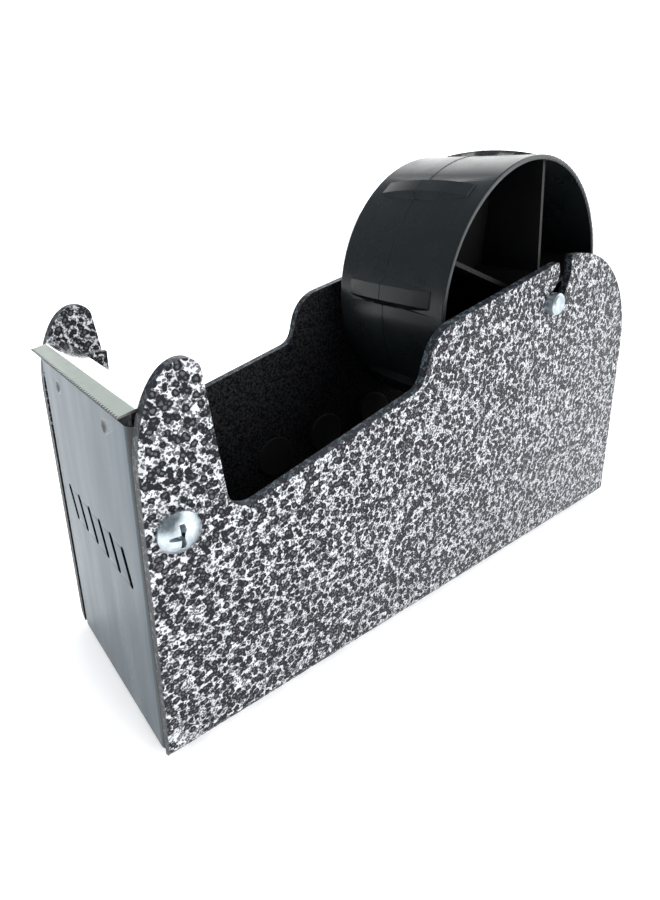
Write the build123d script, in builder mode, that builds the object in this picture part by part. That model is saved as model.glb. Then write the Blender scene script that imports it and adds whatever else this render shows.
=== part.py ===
from build123d import *
import os
from math import cos, radians, sin, sqrt, tan

# Bench tape dispenser of folded sheet steel, in millimetres. X is the width and the axle's
# direction, -Y is the front with the blade, +Z is up. The origin is under the middle of the
# object, on the surface that it stands on. "back" is a distance behind the front edges of the
# side plates, and "up" is a height above the underside of the floor.

# ---------------------------------------------------------------- body
body_width = 54.0
body_length = 186.5
body_sheet = 2.2
inner_bend_radius = 1.0
foot_drop = 1.2             # the feet hold the floor's underside this far up
blade_overhang = 1.5        # the blade's teeth reach this far in front of the body

ear_height = 82.3
ear_front_run = 8.8         # half width of the quarter ellipse on the ear's front
ear_front_rise = 18.5       # half height of the same ellipse
ear_top_back = 11.4         # where the ear's top would meet its sloping rear edge
ear_tip_radius = 2.8
valley_back = 16.1
valley_height = 51.0
valley_radius = 4.8

step_rise = 12.7            # height of the riser between the low and the high part of the side
step_run = 2.8              # how far the riser leans back
step_foot_radius = 5.0
step_shoulder_radius = 11.0
shoulder_before_axle = 48.5
shoulder_over_axle = -3.1
lobe_behind_axle = 44.7     # corner that the rear lobe's large radius rounds off
lobe_over_axle = 23.4
lobe_radius = 41.0

# ---------------------------------------------------------------- axle and its curved slots
axle_before_rear = 68.7
axle_height = 82.7
axle_diameter = 6.0
axle_end_reach = 3.0        # each end stands this far out of its side plate
axle_end_chamfer = 0.5
slot_radius = 7.85          # radius of the slot's centre line
slot_seat_angle = -72.0     # the seat, seen from the centre of that line
slot_run_out_angle = 62.0   # the cutter leaves the plate well past the mouth
slot_clearance = 0.1
slot_lip_radius = 0.9

collar_diameter = 10.0
collar_width = 1.6
collar_plate_gap = 0.4
collar_hub_gap = 0.35
collar_chamfer = 0.3

# ---------------------------------------------------------------- hub
hub_radius = 37.5
hub_side_space = 5.2        # free width beside the drum, on each side
hub_wall = 1.3
hub_edge_radius = 0.5
hub_bore_clearance = 0.05
boss_radius = 8.0
web_thickness = 1.8
web_offset = 1.5            # the web stands a little to one side of the drum's middle
rib_count = 5
rib_thickness = 1.1
rib_first_angle = 162.0
rib_rim_recess = 1.6        # the ribs stop this far inside the drum's edge
rib_boss_recess = 0.6
grip_count = 8
grip_first_angle = 133.0
grip_length = 29.5
grip_width = 4.0            # its face; the flanks slope down from it at 45 degrees
grip_height = 1.5           # at the middle of its arch
grip_end_height = 0.3

# ---------------------------------------------------------------- front panel, bracket and blade
panel_sheet = 1.5
panel_bend_radius = 2.0
panel_side_gap = 0.15
panel_flange_depth = 13.5
panel_bottom_gap = 0.4
panel_below_ear = 10.5
panel_floor_gap = 0.3
bar_count = 6               # slanted bars cut through the panel
bar_pitch = 6.2
bar_length = 8.4
bar_width = 1.7
bar_slant = 24.0
bar_height = 40.5
weld_mark_spacing = 26.4
weld_mark_below_top = 3.5
weld_mark_radius = 1.5
weld_mark_depth = 0.35

blade_thickness = 0.5
blade_pitch_angle = 12.0    # the blade's flat rises to the rear
blade_flat_depth = 3.3
blade_bevel_angle = 16.0
blade_crease_back = 1.5
blade_crease_over_panel = 2.9
blade_side_gap = 0.3
tooth_pitch = 1.0
tooth_depth = 0.55

bracket_sheet = 1.2
bracket_bend_radius = 0.8
bracket_leg_height = 11.0
bracket_shelf_depth = 2.9
bracket_side_gap = 0.8

# ---------------------------------------------------------------- screws and nuts of the panel
screw_back = 5.6
screw_height = 52.4
screw_diameter = 4.0
screw_hole_clearance = 0.25
thread_clearance = 0.02     # between a screw and the thread that it turns in
screw_head_diameter = 8.0
screw_head_height = 2.7
screw_head_wall = 0.9       # straight side of the head below its dome
recess_span = 4.8
recess_width = 1.1
recess_depth = 1.7
recess_taper = 10.0
recess_turn = 18.0
nut_across_flats = 7.0
nut_height = 3.2
nut_chamfer = 0.4
screw_tail = 0.8

# ---------------------------------------------------------------- rear panel, ballast, feet, pads
rear_panel_height = 36.0
rear_panel_inset = 10.0
rear_flange_depth = 12.0
rear_floor_gap = 0.2

ballast_length = 104.0
ballast_side_space = 4.0
ballast_height = 12.0
ballast_back = 38.0
ballast_corner_radius = 4.0
ballast_edge_radius = 1.0
ballast_screw_spacing = 70.0
ballast_screw_diameter = 5.0
ballast_screw_head = 8.2
ballast_screw_bite = 8.0    # thread length in the ballast
ballast_hole_spare = 0.5    # hole depth past the screw's tip
ballast_socket_flats = 3.0
ballast_socket_depth = 1.2
countersink_angle = 82.0

foot_diameter = 12.0
foot_edge_inset = 10.0
foot_end_inset = 16.0
foot_chamfer = 0.3

pad_diameter = 12.7
pad_places = ((60.5, 31.5, 0.6), (80.0, 35.2, 1.2), (101.0, 38.7, 2.2))   # back, up, thickness
pad_edge_radius = 0.25

# ---------------------------------------------------------------- worked out from the above
front_y = blade_overhang - (blade_overhang + body_length) / 2
half_width = body_width / 2
inner_half = half_width - body_sheet
floor_top = body_sheet

axle_back = body_length - axle_before_rear
shoulder_back = axle_back - shoulder_before_axle
shoulder_height = axle_height + shoulder_over_axle
lobe_back = axle_back + lobe_behind_axle
lobe_height = axle_height + lobe_over_axle
pivot_back = axle_back - slot_radius * cos(radians(slot_seat_angle))
pivot_height = axle_height - slot_radius * sin(radians(slot_seat_angle))

collar_outer = inner_half - collar_plate_gap
collar_inner = collar_outer - collar_width
boss_half = collar_inner - collar_hub_gap
drum_half = inner_half - hub_side_space
axle_half = half_width + axle_end_reach

panel_half = inner_half - panel_side_gap
panel_top = ear_height - panel_below_ear
ballast_y = front_y + ballast_back + ballast_length / 2


def at(back, up):
    """A point of the side view, in the YZ plane."""
    return (front_y + back, foot_drop + up)


def side_plane(x):
    """The side view's plane at a given place across the width, facing +X."""
    return Plane.YZ.offset(x)


def level_plane(up):
    return Plane.XY.offset(foot_drop + up)


def finish(part, name):
    part.label = name
    export_step(part, f"parts/{name}.step")


os.makedirs("parts", exist_ok=True)

# ---------------------------------------------------------------- body shell
with BuildPart() as body_shell:
    with BuildSketch(side_plane(-half_width)):
        with BuildLine():
            ear_foot = at(0, ear_height - ear_front_rise)
            ear_crown = at(ear_front_run, ear_height)
            Line(at(0, 0), ear_foot)
            EllipticalCenterArc(
                at(ear_front_run, ear_height - ear_front_rise),
                ear_front_run, ear_front_rise, start_angle=90, arc_size=90,
            )
            FilletPolyline(
                ear_crown,
                at(ear_top_back, ear_height),
                at(valley_back, valley_height),
                at(shoulder_back - step_run, shoulder_height - step_rise),
                at(shoulder_back, shoulder_height),
                at(lobe_back, lobe_height),
                at(body_length, 0),
                radius=[
                    ear_tip_radius, valley_radius, step_foot_radius,
                    step_shoulder_radius, lobe_radius,
                ],
            )
            Line(at(body_length, 0), at(0, 0))
        make_face()
    extrude(amount=body_width)
    bottom_long_edges = (
        body_shell.edges().filter_by(Axis.Y).group_by(Axis.Z)[0]
    )
    fillet(bottom_long_edges, radius=body_sheet + inner_bend_radius)
    with BuildSketch(Plane.XZ.offset(-front_y)):
        hollow_height = ear_height + lobe_height
        with Locations((0, foot_drop + floor_top + hollow_height / 2)):
            RectangleRounded(2 * inner_half, hollow_height, inner_bend_radius)
    extrude(amount=-body_length, mode=Mode.SUBTRACT)
    # the floor stops short of the front panel
    with BuildSketch(level_plane(0)):
        notch_depth = panel_sheet + panel_floor_gap
        with Locations((0, front_y + notch_depth / 2)):
            Rectangle(2 * inner_half, notch_depth)
    extrude(amount=floor_top + inner_bend_radius, mode=Mode.SUBTRACT)
    # curved slots, open at the top edge
    with BuildSketch(side_plane(0)):
        with BuildLine(mode=Mode.PRIVATE) as slot_path:
            CenterArc(
                at(pivot_back, pivot_height), slot_radius,
                slot_seat_angle, slot_run_out_angle - slot_seat_angle,
            )
        SlotArc(slot_path.edge(), axle_diameter + 2 * slot_clearance)
        with Locations(at(screw_back, screw_height)):
            Circle(screw_diameter / 2 + screw_hole_clearance)
    extrude(amount=half_width, both=True, mode=Mode.SUBTRACT)
    # countersunk holes for the ballast screws
    with Locations(Plane(origin=(0, ballast_y, foot_drop), z_dir=(0, 0, -1))):
        with GridLocations(0, ballast_screw_spacing, 1, 2):
            CounterSinkHole(
                ballast_screw_diameter / 2 + screw_hole_clearance,
                ballast_screw_head / 2 + screw_hole_clearance,
                depth=floor_top,
            )
    slot_lips = (
        body_shell.edges()
        .filter_by(Axis.X)
        .filter_by_position(Axis.Z, foot_drop + axle_height + slot_radius, foot_drop + lobe_height)
        .filter_by_position(Axis.Y, front_y + pivot_back, front_y + pivot_back + 2 * slot_radius)
    )
    fillet(slot_lips, radius=slot_lip_radius)
finish(body_shell.part, "body_shell")

# ---------------------------------------------------------------- front panel
with BuildPart() as front_panel:
    with BuildSketch(level_plane(panel_bottom_gap)) as plan:
        with Locations((0, front_y + panel_flange_depth / 2)):
            Rectangle(2 * panel_half, panel_flange_depth)
        fillet(plan.vertices().group_by(Axis.Y)[0], radius=panel_bend_radius)
        with BuildSketch(mode=Mode.SUBTRACT) as inside:
            with Locations((0, front_y + panel_sheet + panel_flange_depth / 2)):
                Rectangle(2 * (panel_half - panel_sheet), panel_flange_depth)
            fillet(inside.vertices().group_by(Axis.Y)[0], radius=panel_bend_radius - panel_sheet)
    extrude(amount=panel_top - panel_bottom_gap)
    # the flanges are cut away over the floor
    with BuildSketch(level_plane(0)):
        with Locations((0, front_y + panel_sheet + body_length / 2)):
            Rectangle(body_width, body_length)
    extrude(amount=floor_top + inner_bend_radius + panel_floor_gap, mode=Mode.SUBTRACT)
    # slanted bars through the sheet
    with BuildSketch(Plane.XZ.offset(-front_y)):
        with Locations((0, foot_drop + bar_height)):
            with GridLocations(bar_pitch, 0, bar_count, 1):
                SlotOverall(bar_length, bar_width, rotation=90 + bar_slant)
    extrude(amount=-panel_sheet, mode=Mode.SUBTRACT)
    # screw holes through the flanges
    with BuildSketch(side_plane(0)):
        with Locations(at(screw_back, screw_height)):
            Circle(screw_diameter / 2 + screw_hole_clearance)
    extrude(amount=half_width, both=True, mode=Mode.SUBTRACT)
    # shallow marks of the two spot welds that hold the bracket
    mark_ball_radius = (weld_mark_radius**2 + weld_mark_depth**2) / (2 * weld_mark_depth)
    mark_y = front_y + weld_mark_depth - mark_ball_radius
    with Locations((0, mark_y, foot_drop + panel_top - weld_mark_below_top)):
        with GridLocations(weld_mark_spacing, 0, 2, 1):
            Sphere(mark_ball_radius, mode=Mode.SUBTRACT)
finish(front_panel.part, "front_panel")

# ---------------------------------------------------------------- rear panel
rear_face_y = front_y + body_length - rear_panel_inset
with BuildPart() as rear_panel:
    rear_bottom = floor_top + rear_floor_gap
    with BuildSketch(level_plane(rear_bottom)) as rear_plan:
        with Locations((0, rear_face_y - rear_flange_depth / 2)):
            Rectangle(2 * panel_half, rear_flange_depth)
        fillet(rear_plan.vertices().group_by(Axis.Y)[-1], radius=panel_bend_radius)
        with BuildSketch(mode=Mode.SUBTRACT) as rear_inside:
            with Locations((0, rear_face_y - panel_sheet - rear_flange_depth / 2)):
                Rectangle(2 * (panel_half - panel_sheet), rear_flange_depth)
            fillet(
                rear_inside.vertices().group_by(Axis.Y)[-1],
                radius=panel_bend_radius - panel_sheet,
            )
    extrude(amount=rear_panel_height - rear_bottom)
    # room for the shell's inner bend
    with BuildSketch(Plane.XZ.offset(-front_y)):
        with Locations((0, foot_drop + floor_top + body_length / 2)):
            RectangleRounded(2 * inner_half, body_length, inner_bend_radius)
    extrude(amount=-body_length, mode=Mode.INTERSECT)
finish(rear_panel.part, "rear_panel")

# ---------------------------------------------------------------- blade and its bracket
crease_height = panel_top + blade_crease_over_panel
with BuildPart() as cutter_blade:
    blade_half = inner_half - blade_side_gap
    with BuildSketch(side_plane(-blade_half)):
        with BuildLine():
            crease = Vector(*at(blade_crease_back, crease_height))
            flat = PolarLine(crease, blade_flat_depth, blade_pitch_angle)
            back_edge = PolarLine(flat @ 1, blade_thickness, blade_pitch_angle - 90)
            bevel_run = blade_crease_back + blade_overhang
            bevel = PolarLine(
                crease, bevel_run, 180 + blade_bevel_angle, length_mode=LengthMode.HORIZONTAL
            )
            under = PolarLine(
                back_edge @ 1,
                blade_flat_depth * cos(radians(blade_pitch_angle)) + bevel_run,
                180 + blade_pitch_angle,
                length_mode=LengthMode.HORIZONTAL,
            )
            Line(under @ 1, bevel @ 1)
        make_face()
    extrude(amount=2 * blade_half)
    # a row of teeth, cut straight down
    with BuildSketch(Plane.XY):
        tooth_count = int(2 * blade_half / tooth_pitch)
        with Locations((0, front_y - blade_overhang)):
            with GridLocations(tooth_pitch, 0, tooth_count, 1):
                Triangle(a=tooth_pitch, b=sqrt(tooth_depth**2 + tooth_pitch**2 / 4),
                         c=sqrt(tooth_depth**2 + tooth_pitch**2 / 4),
                         align=(Align.CENTER, Align.MIN))
    extrude(amount=foot_drop + ear_height, mode=Mode.SUBTRACT)
finish(cutter_blade.part, "cutter_blade")

with BuildPart() as blade_bracket:
    bracket_half = panel_half - panel_sheet - bracket_side_gap
    with BuildSketch(side_plane(-bracket_half)):
        with BuildLine():
            blade_drop = blade_thickness / cos(radians(blade_pitch_angle))
            slope = tan(radians(blade_pitch_angle))
            shelf_front = Vector(*at(
                panel_sheet, crease_height - blade_drop - (blade_crease_back - panel_sheet) * slope
            ))
            shelf_rear = shelf_front + bracket_shelf_depth * Vector(1, slope)
            leg_foot = shelf_front - Vector(0, bracket_leg_height)
            FilletPolyline(leg_foot, shelf_front, shelf_rear, radius=bracket_bend_radius)
            offset(amount=bracket_sheet, side=Side.RIGHT)
        make_face()
    extrude(amount=2 * bracket_half)
finish(blade_bracket.part, "blade_bracket")

# ---------------------------------------------------------------- panel screws and nuts
nut_seat = panel_half - panel_sheet
screw_reach = half_width - nut_seat + nut_height + screw_tail
for side_name, side in (("left", -1), ("right", 1)):
    screw_seat = (side * half_width, *at(screw_back, screw_height))
    outward = (side, 0, 0)
    with BuildPart() as screw:
        # half section: across is the radius, along is outward from the side plate
        with BuildSketch(Plane(screw_seat, x_dir=(0, 1, 0), z_dir=(0, 0, -side))):
            with BuildLine():
                Polyline(
                    (0, screw_head_height),
                    (0, -screw_reach),
                    (screw_diameter / 2, -screw_reach),
                    (screw_diameter / 2, 0),
                    (screw_head_diameter / 2, 0),
                    (screw_head_diameter / 2, screw_head_wall),
                )
                TangentArc(
                    (0, screw_head_height),
                    (screw_head_diameter / 2, screw_head_wall),
                    tangent=(1, 0),
                )
            make_face()
        revolve(axis=Axis(screw_seat, outward))
        # cross recess with tapering walls
        head_top = Plane(screw_seat, x_dir=(0, 1, 0), z_dir=outward).offset(screw_head_height)
        with BuildSketch(head_top.rotated((0, 0, side * recess_turn))):
            Rectangle(recess_span, recess_width)
            Rectangle(recess_width, recess_span)
        extrude(amount=-recess_depth, taper=recess_taper, mode=Mode.SUBTRACT)
    finish(screw.part, f"panel_screw_{side_name}")

    nut_place = (side * nut_seat, *at(screw_back, screw_height))
    with BuildPart() as nut:
        with BuildSketch(Plane(nut_place, x_dir=(0, 0, 1), z_dir=(-side, 0, 0))):
            RegularPolygon(nut_across_flats / 2, 6, major_radius=False)
            Circle(screw_diameter / 2 + thread_clearance, mode=Mode.SUBTRACT)
        extrude(amount=nut_height)
        nut_rim = nut.faces().sort_by(Axis.X)[-1 if side < 0 else 0].outer_wire().edges()
        chamfer(nut_rim, length=nut_chamfer)
    finish(nut.part, f"panel_nut_{side_name}")

# ---------------------------------------------------------------- ballast and its screws
ballast_screw_places = [
    Vector(0, ballast_y + side * ballast_screw_spacing / 2, foot_drop) for side in (-1, 1)
]
with BuildPart() as ballast_block:
    with BuildSketch(level_plane(floor_top)):
        with Locations((0, ballast_y)):
            RectangleRounded(
                2 * (inner_half - ballast_side_space), ballast_length, ballast_corner_radius
            )
    extrude(amount=ballast_height)
    ballast_top_edges = ballast_block.faces().sort_by(Axis.Z)[-1].outer_wire().edges()
    fillet(ballast_top_edges, radius=ballast_edge_radius)
    # blind threaded holes from below
    with BuildSketch(level_plane(floor_top)):
        with Locations((0, ballast_y)):
            with GridLocations(0, ballast_screw_spacing, 1, 2):
                Circle(ballast_screw_diameter / 2 + thread_clearance)
    extrude(amount=ballast_screw_bite + ballast_hole_spare, mode=Mode.SUBTRACT)
finish(ballast_block.part, "ballast_block")

with BuildPart() as ballast_screws:
    head_radius = ballast_screw_head / 2
    shank_radius = ballast_screw_diameter / 2
    head_depth = (head_radius - shank_radius) / tan(radians(countersink_angle / 2))
    for place in ballast_screw_places:
        with BuildSketch(Plane(place, x_dir=(1, 0, 0), z_dir=(0, -1, 0))):
            with BuildLine():
                Polyline(
                    (0, 0),
                    (head_radius, 0),
                    (shank_radius, head_depth),
                    (shank_radius, floor_top + ballast_screw_bite),
                    (0, floor_top + ballast_screw_bite),
                    close=True,
                )
            make_face()
        revolve(axis=Axis(place, (0, 0, 1)))
    with BuildSketch(level_plane(0)):
        with Locations(*[(place.X, place.Y) for place in ballast_screw_places]):
            RegularPolygon(ballast_socket_flats / 2, 6, major_radius=False)
    extrude(amount=ballast_socket_depth, mode=Mode.SUBTRACT)
finish(ballast_screws.part, "ballast_screws")

# ---------------------------------------------------------------- feet
foot_x = half_width - foot_edge_inset
foot_rows = (
    ("front", front_y + foot_end_inset),
    ("rear", front_y + body_length - foot_end_inset),
)
for row_name, foot_y in foot_rows:
    for side_name, side in (("left", -1), ("right", 1)):
        with BuildPart() as foot:
            with BuildSketch():
                with Locations((side * foot_x, foot_y)):
                    Circle(foot_diameter / 2)
            extrude(amount=foot_drop)
            chamfer(foot.edges().group_by(Axis.Z)[0], length=foot_chamfer)
        finish(foot.part, f"foot_{row_name}_{side_name}")

# ---------------------------------------------------------------- round pads on the inner walls
for side_name, side in (("left", -1), ("right", 1)):
    with BuildPart() as wall_pads:
        for pad_back, pad_up, pad_thickness in pad_places:
            pad_place = (side * inner_half, *at(pad_back, pad_up))
            with BuildSketch(Plane(pad_place, z_dir=(-side, 0, 0))):
                Circle(pad_diameter / 2)
            extrude(amount=pad_thickness)
        for pad in wall_pads.solids():
            pad_rim = pad.faces().sort_by(Axis.X)[-1 if side < 0 else 0].edges()
            fillet(pad_rim, radius=pad_edge_radius)
    finish(wall_pads.part, f"wall_pads_{side_name}")

# ---------------------------------------------------------------- axle and its collars
axle_centre = (0, *at(axle_back, axle_height))
axle_plane = Plane(axle_centre, x_dir=(0, 1, 0), z_dir=(1, 0, 0))

with BuildPart() as axle_pin:
    with BuildSketch(axle_plane):
        Circle(axle_diameter / 2)
    extrude(amount=axle_half, both=True)
    chamfer(axle_pin.edges().filter_by(GeomType.CIRCLE), length=axle_end_chamfer)
finish(axle_pin.part, "axle_pin")

for side_name, side in (("left", -1), ("right", 1)):
    with BuildPart() as axle_collar:
        with BuildSketch(axle_plane.offset(side * collar_inner)):
            Circle(collar_diameter / 2)
            Circle(axle_diameter / 2, mode=Mode.SUBTRACT)
        extrude(amount=side * collar_width)
        collar_rims = axle_collar.edges().filter_by(
            lambda edge: edge.geom_type == GeomType.CIRCLE and edge.radius > axle_diameter / 2
        )
        chamfer(collar_rims, length=collar_chamfer)
    finish(axle_collar.part, f"axle_collar_{side_name}")


# ---------------------------------------------------------------- hub
def radial_plane(angle):
    """A plane through the axle: across is outward from the axle, up is along +X."""
    outward = (0, cos(radians(angle)), sin(radians(angle)))
    return Plane(axle_centre, x_dir=outward, z_dir=(0, outward[2], -outward[1]))


wall_middle = hub_radius - hub_wall / 2
boss_middle = boss_radius - hub_wall

# arched grips, cut off inside the drum's wall
with BuildPart() as grips:
    grip_foot = hub_radius - 2 * grip_height
    for grip in range(grip_count):
        with BuildSketch(radial_plane(grip_first_angle + grip * 360 / grip_count)):
            with BuildLine():
                Polyline(
                    (hub_radius + grip_end_height, -grip_length / 2),
                    (grip_foot, -grip_length / 2),
                    (grip_foot, grip_length / 2),
                    (hub_radius + grip_end_height, grip_length / 2),
                )
                ThreePointArc(
                    (hub_radius + grip_end_height, grip_length / 2),
                    (hub_radius + grip_height, 0),
                    (hub_radius + grip_end_height, -grip_length / 2),
                )
            make_face()
        extrude(amount=grip_width / 2 + grip_height, both=True)
    arched_edges = grips.edges().filter_by(GeomType.CIRCLE)
    chamfer(arched_edges, length=grip_height)
    with BuildSketch(axle_plane):
        Circle(wall_middle)
    extrude(amount=grip_length, both=True, mode=Mode.SUBTRACT)

with BuildPart() as hub_drum:
    with BuildSketch(axle_plane):
        Circle(hub_radius)
        Circle(hub_radius - hub_wall, mode=Mode.SUBTRACT)
    extrude(amount=drum_half, both=True)
    fillet(hub_drum.edges().filter_by(GeomType.CIRCLE), radius=hub_edge_radius)
    with BuildSketch(axle_plane.offset(web_offset)):
        Circle(wall_middle)
    extrude(amount=web_thickness / 2, both=True)
    with BuildSketch(axle_plane):
        Circle(boss_radius)
    extrude(amount=boss_half, both=True)
    for rib in range(rib_count):
        with BuildSketch(radial_plane(rib_first_angle + rib * 360 / rib_count)):
            with BuildLine():
                rib_at_rim = drum_half - rib_rim_recess
                rib_at_boss = boss_half - rib_boss_recess
                Polyline(
                    (boss_middle, -rib_at_boss),
                    (wall_middle, -rib_at_rim),
                    (wall_middle, rib_at_rim),
                    (boss_middle, rib_at_boss),
                    close=True,
                )
            make_face()
        extrude(amount=rib_thickness / 2, both=True)
    add(grips.part)
    with BuildSketch(axle_plane):
        Circle(axle_diameter / 2 + hub_bore_clearance)
    extrude(amount=boss_half, both=True, mode=Mode.SUBTRACT)
finish(hub_drum.part, "hub_drum")
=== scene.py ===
from math import cos, hypot, pi, radians, sin

import bmesh
import bpy
from mathutils import Matrix, Vector
from mathutils.bvhtree import BVHTree


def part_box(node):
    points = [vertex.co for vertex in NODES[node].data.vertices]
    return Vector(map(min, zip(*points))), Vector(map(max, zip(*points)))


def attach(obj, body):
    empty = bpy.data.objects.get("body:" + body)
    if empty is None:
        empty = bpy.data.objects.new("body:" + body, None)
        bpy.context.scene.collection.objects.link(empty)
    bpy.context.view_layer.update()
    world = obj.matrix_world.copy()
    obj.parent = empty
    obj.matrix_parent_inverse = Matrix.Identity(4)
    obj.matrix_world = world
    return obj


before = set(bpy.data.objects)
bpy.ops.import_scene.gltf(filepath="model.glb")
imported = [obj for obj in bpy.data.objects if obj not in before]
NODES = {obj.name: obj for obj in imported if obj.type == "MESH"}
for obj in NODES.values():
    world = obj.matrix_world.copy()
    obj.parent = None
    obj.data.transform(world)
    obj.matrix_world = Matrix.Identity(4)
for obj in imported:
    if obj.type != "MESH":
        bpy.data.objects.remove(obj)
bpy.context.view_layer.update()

# Looks of the bench tape dispenser. Lengths are in metres in the row frame: X is the width,
# -Y is the front with the blade, +Z is up.

MM = 0.001

# ---------------------------------------------------------------- places, from the frame
SHELL_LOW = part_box("body_shell")[0]
PANEL_LOW, PANEL_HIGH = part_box("front_panel")
HUB_LOW, HUB_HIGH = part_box("hub_drum")
PANEL_GAP = 0.15 * MM                      # between the front panel and each side plate
INNER_HALF = PANEL_HIGH.x + PANEL_GAP      # the side plates' inner faces
FLOOR_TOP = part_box("ballast_block")[0].z   # the ballast lies on the floor
HUB_CENTRE = (HUB_LOW + HUB_HIGH) / 2
SNAP = 0.05 * MM                           # how far a face may be from a plane it lies on


# ---------------------------------------------------------------- shader helpers
def add_node(tree, kind, sockets=None, **settings):
    """A new node; a socket's value is a number, a colour or another node's output."""
    node = tree.nodes.new(kind)
    for name, value in settings.items():
        setattr(node, name, value)
    for name, value in (sockets or {}).items():
        if isinstance(value, bpy.types.NodeSocket):
            tree.links.new(value, node.inputs[name])
        else:
            node.inputs[name].default_value = value
    return node


def new_material(name, **constants):
    """A material with its shader's constant sockets set, and its object coordinates."""
    material = bpy.data.materials.new(name)
    material.use_nodes = True
    tree = material.node_tree
    shader = tree.nodes["Principled BSDF"]
    for socket, value in constants.items():
        shader.inputs[socket.replace("_", " ")].default_value = value
    coordinates = add_node(tree, "ShaderNodeTexCoord").outputs["Object"]
    return material, tree, shader, coordinates


def math(tree, operation, first, second):
    node = add_node(tree, "ShaderNodeMath", {0: first, 1: second}, operation=operation)
    return node.outputs[0]


def noise(tree, coordinates, size, detail=2.0, roughness=0.5):
    node = add_node(
        tree, "ShaderNodeTexNoise",
        {"Vector": coordinates, "Scale": 1 / size, "Detail": detail, "Roughness": roughness},
    )
    return node.outputs["Fac"]


def cells(tree, coordinates, size):
    """Distance to the nearest of many scattered points, as a share of their spacing."""
    node = add_node(
        tree, "ShaderNodeTexVoronoi", {"Vector": coordinates, "Scale": 1 / size}
    )
    return node.outputs["Distance"]


def stretched(tree, coordinates, scale):
    return add_node(
        tree, "ShaderNodeMapping", {"Vector": coordinates, "Scale": scale}
    ).outputs["Vector"]


def span(tree, value, low, high, new_low=0.0, new_high=1.0):
    """Maps low..high smoothly to new_low..new_high."""
    node = add_node(
        tree, "ShaderNodeMapRange",
        {"Value": value, "From Min": low, "From Max": high, "To Min": new_low, "To Max": new_high},
        interpolation_type="SMOOTHSTEP",
    )
    return node.outputs["Result"]


def blend(tree, factor, first, second):
    """Mixes two colours."""
    node = add_node(tree, "ShaderNodeMix", data_type="RGBA")
    for index, value in ((0, factor), (6, first), (7, second)):
        if isinstance(value, bpy.types.NodeSocket):
            tree.links.new(value, node.inputs[index])
        else:
            node.inputs[index].default_value = value
    return node.outputs[2]


def relief(tree, shader, height, depth):
    """Bump from a 0..1 height that stands for a real depth."""
    bump = add_node(tree, "ShaderNodeBump", {"Height": height, "Distance": depth})
    tree.links.new(bump.outputs["Normal"], shader.inputs["Normal"])


def grey(value):
    return (value, value, value, 1.0)


# ---------------------------------------------------------------- paints
HAMMER_LIGHT = (0.57, 0.585, 0.61, 1.0)
HAMMER_DARK = (0.007, 0.007, 0.010, 1.0)
HAMMER_CENTRE = (0.095, 0.095, 0.105, 1.0)
EDGE_LIGHT = (0.085, 0.105, 0.12, 1.0)
EDGE_DARK = (0.012, 0.014, 0.018, 1.0)
EDGE_CENTRE = (0.03, 0.035, 0.04, 1.0)
LIGHT_SHADE = 0.72                         # the light network's darker clouds
BLOTCH_SIZE = 1.35 * MM
SPECK_SIZE = 0.52 * MM
RAGGED_SIZE = 0.36 * MM                    # of the blotches' uneven outlines
RAGGED_SHARE = 0.22
WARP_SIZE = 0.8 * MM
WARP_REACH = 0.9 * MM
CLOUD_SIZE = 3.0 * MM
SPECK_STRENGTH = 0.85
CENTRE_STRENGTH = 0.8
HAMMER_DEPTH = 0.05 * MM
BLACK_LOW = (0.0015, 0.0017, 0.0022, 1.0)
BLACK_HIGH = (0.027, 0.0275, 0.031, 1.0)
ENAMEL_LOW = (0.004, 0.005, 0.006, 1.0)
ENAMEL_HIGH = (0.010, 0.012, 0.014, 1.0)
# painted reflection: the panel front's blue-grey stands for the pale room reflected in the black
# enamel; lighter streaks are laid over it
PAINTED_REFLECTION_LOW = (0.004, 0.030, 0.050, 1.0)
PAINTED_REFLECTION_HIGH = (0.010, 0.042, 0.062, 1.0)
PAINTED_REFLECTION_STREAK = (0.04, 0.058, 0.07, 1.0)
ZINC_LOW = (0.36, 0.42, 0.45, 1.0)
ZINC_HIGH = (0.56, 0.61, 0.64, 1.0)


def hammertone_pattern(tree, coordinates, light, dark, centre):
    """Dark blotches with greyer middles, and specks, in a light network.

    Returns the colour and the dark share.
    """
    warp = add_node(
        tree, "ShaderNodeTexNoise", {"Vector": coordinates, "Scale": 1 / WARP_SIZE, "Detail": 2.0}
    ).outputs["Color"]
    shift = add_node(
        tree, "ShaderNodeVectorMath", {0: warp, 1: (-0.5, -0.5, -0.5)}, operation="ADD"
    ).outputs["Vector"]
    shift = add_node(
        tree, "ShaderNodeVectorMath", {0: shift, "Scale": WARP_REACH}, operation="SCALE"
    ).outputs["Vector"]
    warped = add_node(
        tree, "ShaderNodeVectorMath", {0: coordinates, 1: shift}, operation="ADD"
    ).outputs["Vector"]
    blotch = cells(tree, warped, BLOTCH_SIZE)
    speck = cells(tree, warped, SPECK_SIZE)
    ragged = noise(tree, coordinates, RAGGED_SIZE, detail=1.0)
    blotch_edge = math(tree, "ADD", blotch, math(tree, "MULTIPLY", ragged, RAGGED_SHARE))
    blotches = span(tree, blotch_edge, 0.71, 0.61)
    specks = span(tree, speck, 0.58, 0.46)
    specks = math(tree, "MULTIPLY", specks, SPECK_STRENGTH)
    dark_share = math(tree, "MAXIMUM", blotches, specks)
    middles = math(tree, "MULTIPLY", span(tree, blotch, 0.30, 0.16), CENTRE_STRENGTH)
    cloud = noise(tree, coordinates, CLOUD_SIZE, detail=3.0)
    shaded = [LIGHT_SHADE * channel for channel in light[:3]] + [1.0]
    light_tone = blend(tree, span(tree, cloud, 0.35, 0.65), light, shaded)
    colour = blend(tree, dark_share, light_tone, dark)
    colour = blend(tree, middles, colour, centre)
    return colour, dark_share


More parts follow.
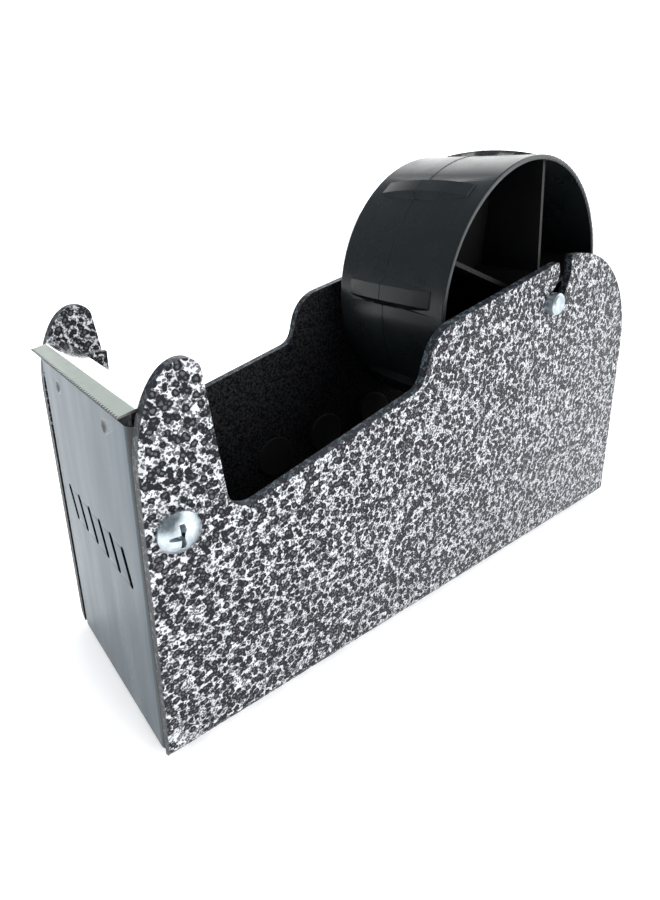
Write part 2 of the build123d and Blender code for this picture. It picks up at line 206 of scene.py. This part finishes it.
def hammertone(name, light=HAMMER_LIGHT, dark=HAMMER_DARK, centre=HAMMER_CENTRE):
    material, tree, shader, coordinates = new_material(name, Specular_IOR_Level=0.12)
    colour, dark_share = hammertone_pattern(tree, coordinates, light, dark, centre)
    tree.links.new(colour, shader.inputs["Base Color"])
    tree.links.new(span(tree, dark_share, 0.0, 1.0, 0.34, 0.42), shader.inputs["Roughness"])
    relief(tree, shader, math(tree, "SUBTRACT", 1.0, dark_share), HAMMER_DEPTH)
    return material


GRAIN_SIZE = 0.6 * MM
GRAIN_DEPTH = 0.05 * MM
DRIFT_SIZE = 4 * MM                        # of the wavy border between black and hammertone
DRIFT_REACH = 6 * MM
BLACK_TOP = PANEL_HIGH.z - 16 * MM         # the hammertone starts here and is full at the next
HAMMER_BOTTOM = PANEL_HIGH.z - 12 * MM
BLACK_FRONT = SHELL_LOW.y + 27 * MM        # and the same from the rear to the front
HAMMER_REAR = SHELL_LOW.y + 24 * MM


def matte_black_inside(name):
    """Fine matte black, with the hammertone coming over the ears and the panel's flanges."""
    material, tree, shader, coordinates = new_material(name, Specular_IOR_Level=0.16)
    grain = noise(tree, coordinates, GRAIN_SIZE, detail=2.0)
    black = blend(tree, span(tree, grain, 0.35, 0.68), BLACK_LOW, BLACK_HIGH)
    pattern, dark_share = hammertone_pattern(
        tree, coordinates, HAMMER_LIGHT, HAMMER_DARK, HAMMER_CENTRE
    )
    place = add_node(tree, "ShaderNodeSeparateXYZ", {"Vector": coordinates}).outputs
    drift = math(tree, "MULTIPLY", noise(tree, coordinates, DRIFT_SIZE), DRIFT_REACH)
    height = math(tree, "ADD", place["Z"], drift)
    high = span(tree, height, BLACK_TOP, HAMMER_BOTTOM)
    front = span(tree, place["Y"], BLACK_FRONT, HAMMER_REAR)
    ear = math(tree, "MULTIPLY", high, front)
    tree.links.new(blend(tree, ear, black, pattern), shader.inputs["Base Color"])
    tree.links.new(span(tree, ear, 0.0, 1.0, 0.72, 0.38), shader.inputs["Roughness"])
    relief(tree, shader, grain, GRAIN_DEPTH)
    return material


def gloss_black(name):
    material, tree, shader, coordinates = new_material(
        name, Specular_IOR_Level=0.35, Coat_Weight=0.15, Coat_Roughness=0.06
    )
    cloud = noise(tree, coordinates, 9 * MM, detail=3.0)
    tree.links.new(blend(tree, cloud, ENAMEL_LOW, ENAMEL_HIGH), shader.inputs["Base Color"])
    tree.links.new(span(tree, cloud, 0.3, 0.7, 0.18, 0.30), shader.inputs["Roughness"])
    relief(tree, shader, noise(tree, coordinates, 1.6 * MM), 0.008 * MM)
    return material


def enamel_with_painted_reflection(name):
    """The panel's flat front: black enamel whose blue-grey colour is a painted reflection of the
    pale room.
    """
    material, tree, shader, coordinates = new_material(
        name, Metallic=0.6, Specular_IOR_Level=0.3
    )
    streaks = noise(tree, stretched(tree, coordinates, (1.0, 1.0, 0.16)), 7 * MM, detail=4.0)
    cloud = noise(tree, coordinates, 22 * MM, detail=2.0)
    colour = blend(tree, span(tree, cloud, 0.3, 0.7), PAINTED_REFLECTION_LOW, PAINTED_REFLECTION_HIGH)
    colour = blend(tree, span(tree, streaks, 0.54, 0.78, 0.0, 0.2), colour, PAINTED_REFLECTION_STREAK)
    tree.links.new(colour, shader.inputs["Base Color"])
    tree.links.new(span(tree, streaks, 0.3, 0.7, 0.26, 0.34), shader.inputs["Roughness"])
    relief(tree, shader, noise(tree, coordinates, 1.2 * MM), 0.01 * MM)
    return material


# ---------------------------------------------------------------- metals
def polished_steel(name, low, high, lines, rough_low, rough_high, metallic=1.0):
    """Polished or ground steel; lines stretches the grinding marks along one axis."""
    material, tree, shader, coordinates = new_material(name, Metallic=metallic)
    marks = noise(tree, stretched(tree, coordinates, lines), 0.35 * MM, detail=3.0)
    smear = noise(tree, coordinates, 6 * MM, detail=2.0)
    tree.links.new(blend(tree, smear, low, high), shader.inputs["Base Color"])
    tree.links.new(span(tree, marks, 0.3, 0.7, rough_low, rough_high), shader.inputs["Roughness"])
    relief(tree, shader, marks, 0.006 * MM)
    return material


def zinc(name):
    material, tree, shader, coordinates = new_material(name, Metallic=1.0)
    bloom = noise(tree, coordinates, 1.8 * MM, detail=4.0, roughness=0.6)
    colour = blend(tree, span(tree, bloom, 0.35, 0.65), ZINC_LOW, ZINC_HIGH)
    tree.links.new(colour, shader.inputs["Base Color"])
    tree.links.new(span(tree, bloom, 0.3, 0.7, 0.26, 0.42), shader.inputs["Roughness"])
    relief(tree, shader, bloom, 0.015 * MM)
    return material


# ---------------------------------------------------------------- mouldings, rubber, casting
def moulded(name, low, high, rough_low, rough_high, grain_size, grain_depth, **constants):
    material, tree, shader, coordinates = new_material(name, **constants)
    grain = noise(tree, coordinates, grain_size, detail=3.0)
    cloud = noise(tree, coordinates, 11 * MM, detail=3.0)
    tree.links.new(blend(tree, cloud, low, high), shader.inputs["Base Color"])
    tree.links.new(span(tree, cloud, 0.3, 0.7, rough_low, rough_high), shader.inputs["Roughness"])
    relief(tree, shader, grain, grain_depth)
    return material


OUTSIDE = hammertone("hammertone_outside")
PLATE_EDGE = hammertone("hammertone_edge", EDGE_LIGHT, EDGE_DARK, EDGE_CENTRE)
INSIDE = matte_black_inside("matte_black_inside")
ENAMEL = gloss_black("gloss_black_enamel")
PANEL_FACE = enamel_with_painted_reflection("black_enamel_painted_reflection")
BLADE_FLAT = polished_steel(
    "polished_blade", grey(0.86), grey(0.95), (0.04, 1.0, 1.0), 0.07, 0.16
)
BLADE_BEVEL = polished_steel(
    "ground_bevel", (0.42, 0.47, 0.43, 1.0), (0.54, 0.59, 0.54, 1.0), (1.0, 0.05, 1.0),
    0.30, 0.45, metallic=0.75,
)
# painted shade: the teeth's and the blade ends' faces are dark grey to stand for the shadow under
# the blade's edge
BLADE_TEETH_PAINTED_SHADE = polished_steel(
    "teeth_painted_shade", grey(0.07), grey(0.16), (1.0, 1.0, 0.1), 0.35, 0.5, metallic=0.8
)
ZINC = zinc("zinc_plate")
CASTING = moulded(
    "painted_casting", grey(0.012), grey(0.028), 0.55, 0.7, 1.2 * MM, 0.12 * MM
)
RUBBER = moulded("foot_rubber", grey(0.012), grey(0.022), 0.8, 0.9, 0.5 * MM, 0.03 * MM)
PAD = moulded("pad_plastic", grey(0.008), grey(0.016), 0.42, 0.55, 0.6 * MM, 0.02 * MM)
DRUM = moulded(
    "hub_plastic", (0.0055, 0.0075, 0.0085, 1.0), (0.010, 0.013, 0.0145, 1.0),
    0.24, 0.34, 0.9 * MM, 0.006 * MM, Specular_IOR_Level=0.36,
)
# painted shade: the drum's inside is a darker copy of its plastic, standing for the shade in the
# hollow
DRUM_INSIDE_PAINTED_SHADE = moulded(
    "hub_plastic_inside_painted_shade", grey(0.003), grey(0.006), 0.42, 0.55, 0.7 * MM, 0.02 * MM,
    Specular_IOR_Level=0.2,
)
# painted reflection: the rims' lighter grey stands for the room reflected in them
DRUM_RIM_PAINTED_SHEEN = moulded(
    "hub_plastic_rim_painted_sheen", (0.016, 0.018, 0.020, 1.0), (0.040, 0.044, 0.047, 1.0),
    0.38, 0.5, 0.5 * MM, 0.02 * MM,
)


# ---------------------------------------------------------------- which face takes which paint
WELD_MARK_ROOM = 10 * SNAP                 # a little more than the weld marks' depth
BEND_ROOM = 3 * MM
WALL_ROOM = 2.0 * MM                       # a little more than the drum's wall
GRIPS_CLEAR = 18.5 * MM                    # the grips end before this distance from the middle


def paint(node_name, *materials, choose=lambda centre, normal: 0):
    """Gives a CAD node its materials; choose picks one by a face's place and direction."""
    mesh = NODES[node_name].data
    mesh.materials.clear()
    for material in materials:
        mesh.materials.append(material)
    for face in mesh.polygons:
        face.material_index = choose(face.center, face.normal)
        face.use_smooth = True


def shell_face(centre, normal):
    """Outside, inside, or the sheet's cut edge."""
    inside = abs(centre.x) < INNER_HALF + SNAP and centre.z > FLOOR_TOP - SNAP
    if inside and (abs(normal.y) < 0.5 or normal.z > 0.5):
        return 1
    cut_edge = abs(normal.x) < 0.5 and centre.z > FLOOR_TOP or abs(normal.y) > 0.5
    return 2 if cut_edge else 0


def panel_face(centre, normal):
    """The bends and edges, the flat front with its weld marks, or the flanges."""
    if centre.y < PANEL_LOW.y + WELD_MARK_ROOM and normal.y < -0.97:
        return 1
    on_flange = centre.y > PANEL_LOW.y + BEND_ROOM
    return 2 if on_flange and (abs(normal.x) > 0.9 or normal.z > 0.9) else 0


def blade_face(centre, normal):
    """The flat, the ground bevel, or the teeth and ends, which are painted dark as shade."""
    if normal.y < -0.25 and normal.z > 0.5:
        return 1
    at_teeth_or_ends = centre.y < SHELL_LOW.y or abs(normal.x) > 0.9
    return 2 if abs(normal.z) < 0.5 and at_teeth_or_ends else 0


def drum_face(centre, normal):
    """The drum's outside, its inside with painted shade, or its rims with a painted reflection."""
    reach = hypot(centre.y - HUB_CENTRE.y, centre.z - HUB_CENTRE.z)
    wall_inside = DRUM_RADIUS - WALL_ROOM
    if reach > wall_inside and abs(normal.x) > 0.7:
        return 2
    return 1 if reach < wall_inside else 0


def drum_radius():
    """The drum's own radius: the largest reach of its end faces, which the grips stay off."""
    mesh = NODES["hub_drum"].data
    reaches = [
        hypot(vertex.co.y - HUB_CENTRE.y, vertex.co.z - HUB_CENTRE.z)
        for vertex in mesh.vertices
        if abs(vertex.co.x) > GRIPS_CLEAR
    ]
    return max(reaches)


DRUM_RADIUS = drum_radius()

paint("body_shell", OUTSIDE, INSIDE, PLATE_EDGE, choose=shell_face)
paint("front_panel", ENAMEL, PANEL_FACE, INSIDE, choose=panel_face)
paint("rear_panel", ENAMEL)
paint("blade_bracket", ENAMEL)
paint("cutter_blade", BLADE_FLAT, BLADE_BEVEL, BLADE_TEETH_PAINTED_SHADE, choose=blade_face)
paint("ballast_block", CASTING)
paint("hub_drum", DRUM, DRUM_INSIDE_PAINTED_SHADE, DRUM_RIM_PAINTED_SHEEN, choose=drum_face)
for node_name in NODES:
    if "screw" in node_name or "nut" in node_name or node_name.startswith("axle"):
        paint(node_name, ZINC)
    elif node_name.startswith("foot"):
        paint(node_name, RUBBER)
    elif node_name.startswith("wall_pads"):
        paint(node_name, PAD)


# ---------------------------------------------------------------- softened edges
WELD_REACH = 0.002 * MM
EDGE_ROUNDS = {                            # radii in millimetres
    "body_shell": 0.40,
    "front_panel": 0.20,
    "rear_panel": 0.20,
    "blade_bracket": 0.15,
    "hub_drum": 0.30,
    "wall_pads_left": 0.12,
    "wall_pads_right": 0.12,
    "panel_screw_left": 0.10,
    "panel_screw_right": 0.10,
}


def soften(node_name, radius):
    """Rounds a CAD node's sharp edges with modifiers, which leave its own mesh as it is."""
    node = NODES[node_name]
    weld = node.modifiers.new("weld", "WELD")
    weld.merge_threshold = WELD_REACH
    bevel = node.modifiers.new("edge_round", "BEVEL")
    bevel.width = radius
    bevel.segments = 3
    bevel.limit_method = "ANGLE"
    bevel.angle_limit = radians(40)
    bevel.use_clamp_overlap = True
    normals = node.modifiers.new("normals", "WEIGHTED_NORMAL")
    normals.weight = 50


for node_name, radius in EDGE_ROUNDS.items():
    soften(node_name, radius * MM)


# ---------------------------------------------------------------- the drum's parting line
LINE_X = -2.0 * MM
LINE_HALF_WIDTH = 0.22 * MM
LINE_HEIGHT = 0.12 * MM
LINE_STEPS = 720


def parting_line():
    """A fine raised line round the drum and over its grips, where the mould's halves met."""
    drum = NODES["hub_drum"].data
    surface = BVHTree.FromPolygons(
        [vertex.co for vertex in drum.vertices], [face.vertices for face in drum.polygons]
    )
    outline = bmesh.new()
    rings = []
    for step in range(LINE_STEPS):
        angle = 2 * pi * step / LINE_STEPS
        outward = Vector((0, cos(angle), sin(angle)))
        axle = Vector((LINE_X, HUB_CENTRE.y, HUB_CENTRE.z))
        hit = surface.ray_cast(axle + outward * 2 * DRUM_RADIUS, -outward)[0]
        reach = (hit - axle).length
        rings.append([
            outline.verts.new(axle + outward * (reach + rise) + Vector((side, 0, 0)))
            for side, rise in (
                (-LINE_HALF_WIDTH, -LINE_HEIGHT),
                (-LINE_HALF_WIDTH / 2, LINE_HEIGHT),
                (LINE_HALF_WIDTH / 2, LINE_HEIGHT),
                (LINE_HALF_WIDTH, -LINE_HEIGHT),
            )
        ])
    for step, ring in enumerate(rings):
        following = rings[(step + 1) % LINE_STEPS]
        for side in range(4):
            after = (side + 1) % 4
            outline.faces.new((ring[side], ring[after], following[after], following[side]))
    bmesh.ops.recalc_face_normals(outline, faces=outline.faces)
    mesh = bpy.data.meshes.new("hub_parting_line")
    outline.to_mesh(mesh)
    outline.free()
    mesh.materials.append(DRUM)
    line = bpy.data.objects.new("hub_parting_line", mesh)
    bpy.context.scene.collection.objects.link(line)
    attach(line, "hub")


parting_line()


# ---------------------------------------------------------------- floor, light, camera
FLOOR_HALF = 6.0
FLOOR_GRAIN = 12 * MM
FLOOR_GLOW = 0.3                           # keeps the far floor as white as the room
LIGHT_AIM = (0, 0, 0.05)
LIGHTS = (
    # name, place, size, power in watts
    ("light_above", (-0.05, 0.10, 0.80), 0.60, 4.0),
    ("light_right", (0.80, 0.10, 0.45), 0.50, 5.5),
    ("light_left", (-0.60, -0.60, 0.55), 0.70, 5.5),
)
ROOM_BRIGHT = (2.3, 2.3, 2.3, 1.0)         # the room behind the object
ROOM_DIM = (0.28, 0.30, 0.33, 1.0)         # and in front of it
CEILING_SHARE = 0.9                        # how far the dim part leans back overhead
ROOM_CHANGE = (-0.10, 0.06)                # where dim turns to bright
CAMERA_AZIMUTH = 47.04
CAMERA_ELEVATION = 22.12
CAMERA_ROLL = 2.95
CAMERA_PLACE = (0.1058, -0.1198, 0.1069)
CAMERA_LENS = 21.96
CAMERA_SENSOR = 36
CAMERA_NEAR = 0.01
CAMERA_SHIFT = (-0.029, -0.025)


def make_floor():
    mesh = bpy.data.meshes.new("floor")
    signs = ((-1, -1), (1, -1), (1, 1), (-1, 1))
    corners = [(x * FLOOR_HALF, y * FLOOR_HALF, 0) for x, y in signs]
    mesh.from_pydata(corners, [], [(0, 1, 2, 3)])
    material, tree, shader, coordinates = new_material(
        "pale_floor", Roughness=0.9, Emission_Color=grey(1.0), Emission_Strength=FLOOR_GLOW
    )
    shade = noise(tree, coordinates, FLOOR_GRAIN, detail=2.0)
    tree.links.new(blend(tree, shade, grey(0.94), grey(0.97)), shader.inputs["Base Color"])
    mesh.materials.append(material)
    floor = bpy.data.objects.new("floor", mesh)
    bpy.context.scene.collection.objects.link(floor)


def make_lights():
    for name, place, size, power in LIGHTS:
        light = bpy.data.lights.new(name, "AREA")
        light.shape = "DISK"
        light.size = size
        light.energy = power
        lamp = bpy.data.objects.new(name, light)
        lamp.location = place
        aim = Vector(LIGHT_AIM) - Vector(place)
        lamp.rotation_euler = aim.to_track_quat("-Z", "Y").to_euler()
        lamp.visible_glossy = False
        bpy.context.scene.collection.objects.link(lamp)


def make_room():
    """A white room that is brighter behind the object than in front of it."""
    world = bpy.data.worlds.new("white_room")
    world.use_nodes = True
    tree = world.node_tree
    direction = add_node(tree, "ShaderNodeTexCoord").outputs["Generated"]
    towards = add_node(tree, "ShaderNodeSeparateXYZ", {"Vector": direction}).outputs
    ceiling = math(tree, "MULTIPLY", math(tree, "POWER", towards["Z"], 2.0), CEILING_SHARE)
    backward = math(tree, "SUBTRACT", towards["Y"], ceiling)
    colour = blend(tree, span(tree, backward, *ROOM_CHANGE), ROOM_DIM, ROOM_BRIGHT)
    tree.links.new(colour, tree.nodes["Background"].inputs["Color"])
    bpy.context.scene.world = world


def make_camera():
    azimuth, elevation, roll = (
        radians(a) for a in (CAMERA_AZIMUTH, CAMERA_ELEVATION, CAMERA_ROLL)
    )
    back = Vector((
        sin(azimuth) * cos(elevation), -cos(azimuth) * cos(elevation), sin(elevation)
    ))
    level = Vector((cos(azimuth), sin(azimuth), 0))
    upright = back.cross(level)
    right = level * cos(roll) + upright * sin(roll)
    up = upright * cos(roll) - level * sin(roll)
    lens = bpy.data.cameras.new("camera")
    lens.lens = CAMERA_LENS
    lens.sensor_width = CAMERA_SENSOR
    lens.shift_x, lens.shift_y = CAMERA_SHIFT
    lens.clip_start = CAMERA_NEAR
    lens.dof.use_dof = False
    camera = bpy.data.objects.new("camera", lens)
    camera.matrix_world = (
        Matrix.Translation(CAMERA_PLACE) @ Matrix((right, up, back)).transposed().to_4x4()
    )
    bpy.context.scene.collection.objects.link(camera)
    bpy.context.scene.camera = camera


make_floor()
make_lights()
make_room()
make_camera()
bpy.context.scene.view_settings.view_transform = "Standard"

bpy.context.view_layer.update()
